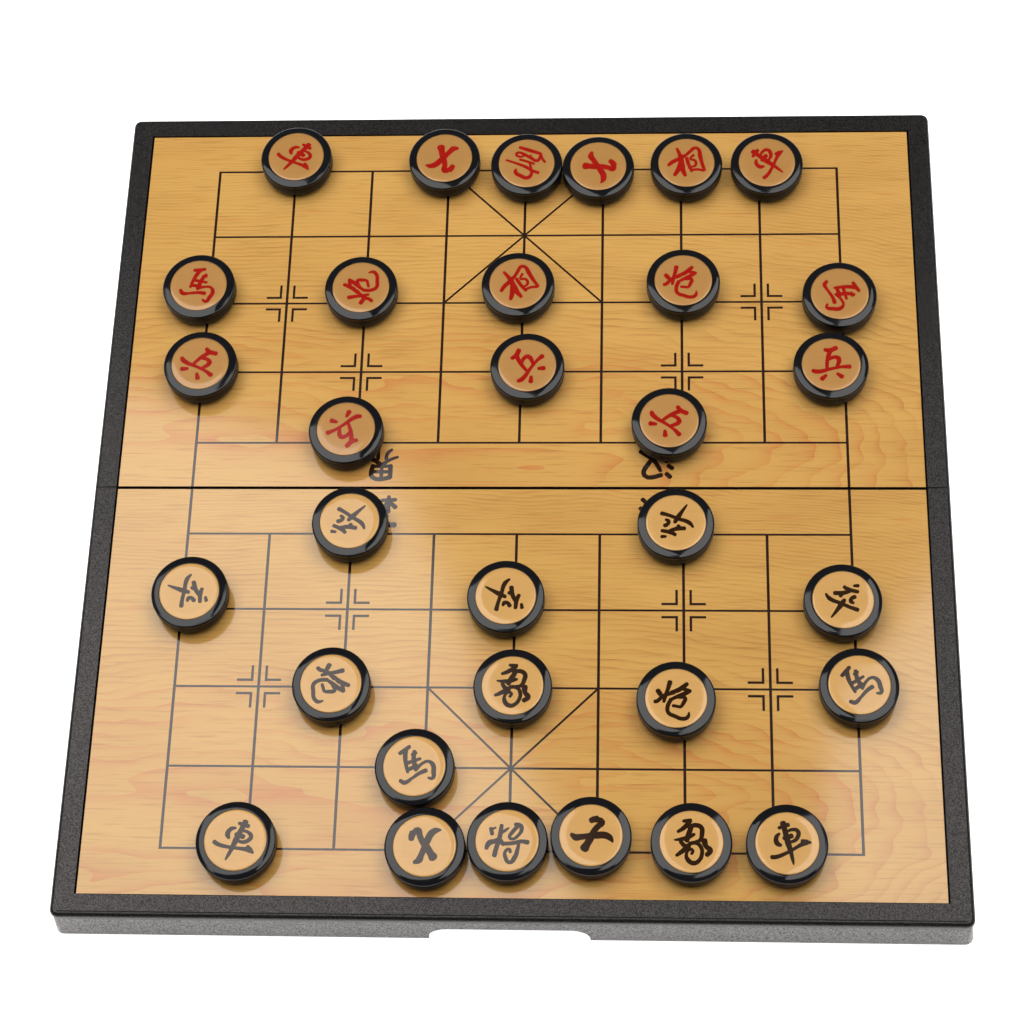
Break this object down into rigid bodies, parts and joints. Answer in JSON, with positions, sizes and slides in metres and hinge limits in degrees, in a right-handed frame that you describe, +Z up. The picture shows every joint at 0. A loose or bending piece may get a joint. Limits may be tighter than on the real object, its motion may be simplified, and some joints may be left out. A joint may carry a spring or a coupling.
{
  "type": "folding magnetic xiangqi case",
  "caption": "Folding plastic case with two wood-print board faces that open flat into one xiangqi board, and round magnetic pieces that stand on it.",
  "frame": {"origin": "middle of the opened case's footprint, on the table", "axes": "+Z up from the table to the board, +X along the seam to the right, +Y from the near half to the far half"},
  "size_m": [0.253, 0.2585, 0.0227],
  "materials": {
    "case_plastic": "black ABS with a fine moulded grain",
    "board_laminate": "glossy film with a printed wood grain",
    "sheet_steel": "tin-plated sheet",
    "pin_steel": "drawn wire",
    "piece_plastic": "polished black plastic",
    "piece_face": "printed wood-tone disc under a clear film",
    "red_mark": "printed red ink",
    "dark_mark": "printed dark ink",
    "magnet_ferrite": "ground ferrite"
  },
  "bodies": {
    "near_half": {"near_case_shell": "case_plastic", "near_board_panel": "board_laminate", "near_steel_plate": "sheet_steel", "hinge_pin_left": "pin_steel", "hinge_pin_right": "pin_steel"},
    "far_half": {"far_case_shell": "case_plastic", "far_board_panel": "board_laminate", "far_steel_plate": "sheet_steel"},
    "black_advisor_left": {"black_advisor_left": "piece_plastic"},
    "black_advisor_right": {"black_advisor_right": "piece_plastic"},
    "black_cannon_left": {"black_cannon_left": "piece_plastic"},
    "black_cannon_right": {"black_cannon_right": "piece_plastic"},
    "black_chariot_left": {"black_chariot_left": "piece_plastic"},
    "black_chariot_right": {"black_chariot_right": "piece_plastic"},
    "black_elephant_left": {"black_elephant_left": "piece_plastic"},
    "black_elephant_right": {"black_elephant_right": "piece_plastic"},
    "black_general": {"black_general": "piece_plastic"},
    "black_horse_left": {"black_horse_left": "piece_plastic"},
    "black_horse_right": {"black_horse_right": "piece_plastic"},
    "black_soldier_1": {"black_soldier_1": "piece_plastic"},
    "black_soldier_2": {"black_soldier_2": "piece_plastic"},
    "black_soldier_3": {"black_soldier_3": "piece_plastic"},
    "black_soldier_4": {"black_soldier_4": "piece_plastic"},
    "black_soldier_5": {"black_soldier_5": "piece_plastic"},
    "red_advisor_left": {"red_advisor_left": "piece_plastic"},
    "red_advisor_right": {"red_advisor_right": "piece_plastic"},
    "red_cannon_left": {"red_cannon_left": "piece_plastic"},
    "red_cannon_right": {"red_cannon_right": "piece_plastic"},
    "red_chariot_left": {"red_chariot_left": "piece_plastic"},
    "red_chariot_right": {"red_chariot_right": "piece_plastic"},
    "red_elephant_left": {"red_elephant_left": "piece_plastic"},
    "red_elephant_right": {"red_elephant_right": "piece_plastic"},
    "red_general": {"red_general": "piece_plastic"},
    "red_horse_left": {"red_horse_left": "piece_plastic"},
    "red_horse_right": {"red_horse_right": "piece_plastic"},
    "red_soldier_1": {"red_soldier_1": "piece_plastic"},
    "red_soldier_2": {"red_soldier_2": "piece_plastic"},
    "red_soldier_3": {"red_soldier_3": "piece_plastic"},
    "red_soldier_4": {"red_soldier_4": "piece_plastic"},
    "red_soldier_5": {"red_soldier_5": "piece_plastic"}
  },
  "joints": [
    {"name": "case_fold", "type": "hinge", "parent": "near_half", "child": "far_half", "pos_m": [0, 0, 0.002], "axis": [-1, 0, 0], "range_deg": [0, 180]},
    {"name": "lift_black_advisor_left", "type": "slide", "parent": "near_half", "child": "black_advisor_left", "axis": [0, 0, 1], "range_m": [0, 0.03]},
    {"name": "lift_black_advisor_right", "type": "slide", "parent": "near_half", "child": "black_advisor_right", "axis": [0, 0, 1], "range_m": [0, 0.03]},
    {"name": "lift_black_cannon_left", "type": "slide", "parent": "near_half", "child": "black_cannon_left", "axis": [0, 0, 1], "range_m": [0, 0.03]},
    {"name": "lift_black_cannon_right", "type": "slide", "parent": "near_half", "child": "black_cannon_right", "axis": [0, 0, 1], "range_m": [0, 0.03]},
    {"name": "lift_black_chariot_left", "type": "slide", "parent": "near_half", "child": "black_chariot_left", "axis": [0, 0, 1], "range_m": [0, 0.03]},
    {"name": "lift_black_chariot_right", "type": "slide", "parent": "near_half", "child": "black_chariot_right", "axis": [0, 0, 1], "range_m": [0, 0.03]},
    {"name": "lift_black_elephant_left", "type": "slide", "parent": "near_half", "child": "black_elephant_left", "axis": [0, 0, 1], "range_m": [0, 0.03]},
    {"name": "lift_black_elephant_right", "type": "slide", "parent": "near_half", "child": "black_elephant_right", "axis": [0, 0, 1], "range_m": [0, 0.03]},
    {"name": "lift_black_general", "type": "slide", "parent": "near_half", "child": "black_general", "axis": [0, 0, 1], "range_m": [0, 0.03]},
    {"name": "lift_black_horse_left", "type": "slide", "parent": "near_half", "child": "black_horse_left", "axis": [0, 0, 1], "range_m": [0, 0.03]},
    {"name": "lift_black_horse_right", "type": "slide", "parent": "near_half", "child": "black_horse_right", "axis": [0, 0, 1], "range_m": [0, 0.03]},
    {"name": "lift_black_soldier_1", "type": "slide", "parent": "near_half", "child": "black_soldier_1", "axis": [0, 0, 1], "range_m": [0, 0.03]},
    {"name": "lift_black_soldier_2", "type": "slide", "parent": "near_half", "child": "black_soldier_2", "axis": [0, 0, 1], "range_m": [0, 0.03]},
    {"name": "lift_black_soldier_3", "type": "slide", "parent": "near_half", "child": "black_soldier_3", "axis": [0, 0, 1], "range_m": [0, 0.03]},
    {"name": "lift_black_soldier_4", "type": "slide", "parent": "near_half", "child": "black_soldier_4", "axis": [0, 0, 1], "range_m": [0, 0.03]},
    {"name": "lift_black_soldier_5", "type": "slide", "parent": "near_half", "child": "black_soldier_5", "axis": [0, 0, 1], "range_m": [0, 0.03]},
    {"name": "lift_red_advisor_left", "type": "slide", "parent": "far_half", "child": "red_advisor_left", "axis": [0, 0, 1], "range_m": [0, 0.03]},
    {"name": "lift_red_advisor_right", "type": "slide", "parent": "far_half", "child": "red_advisor_right", "axis": [0, 0, 1], "range_m": [0, 0.03]},
    {"name": "lift_red_cannon_left", "type": "slide", "parent": "far_half", "child": "red_cannon_left", "axis": [0, 0, 1], "range_m": [0, 0.03]},
    {"name": "lift_red_cannon_right", "type": "slide", "parent": "far_half", "child": "red_cannon_right", "axis": [0, 0, 1], "range_m": [0, 0.03]},
    {"name": "lift_red_chariot_left", "type": "slide", "parent": "far_half", "child": "red_chariot_left", "axis": [0, 0, 1], "range_m": [0, 0.03]},
    {"name": "lift_red_chariot_right", "type": "slide", "parent": "far_half", "child": "red_chariot_right", "axis": [0, 0, 1], "range_m": [0, 0.03]},
    {"name": "lift_red_elephant_left", "type": "slide", "parent": "far_half", "child": "red_elephant_left", "axis": [0, 0, 1], "range_m": [0, 0.03]},
    {"name": "lift_red_elephant_right", "type": "slide", "parent": "far_half", "child": "red_elephant_right", "axis": [0, 0, 1], "range_m": [0, 0.03]},
    {"name": "lift_red_general", "type": "slide", "parent": "far_half", "child": "red_general", "axis": [0, 0, 1], "range_m": [0, 0.03]},
    {"name": "lift_red_horse_left", "type": "slide", "parent": "far_half", "child": "red_horse_left", "axis": [0, 0, 1], "range_m": [0, 0.03]},
    {"name": "lift_red_horse_right", "type": "slide", "parent": "far_half", "child": "red_horse_right", "axis": [0, 0, 1], "range_m": [0, 0.03]},
    {"name": "lift_red_soldier_1", "type": "slide", "parent": "far_half", "child": "red_soldier_1", "axis": [0, 0, 1], "range_m": [0, 0.03]},
    {"name": "lift_red_soldier_2", "type": "slide", "parent": "far_half", "child": "red_soldier_2", "axis": [0, 0, 1], "range_m": [0, 0.03]},
    {"name": "lift_red_soldier_3", "type": "slide", "parent": "far_half", "child": "red_soldier_3", "axis": [0, 0, 1], "range_m": [0, 0.03]},
    {"name": "lift_red_soldier_4", "type": "slide", "parent": "far_half", "child": "red_soldier_4", "axis": [0, 0, 1], "range_m": [0, 0.03]},
    {"name": "lift_red_soldier_5", "type": "slide", "parent": "far_half", "child": "red_soldier_5", "axis": [0, 0, 1], "range_m": [0, 0.03]}
  ]
}
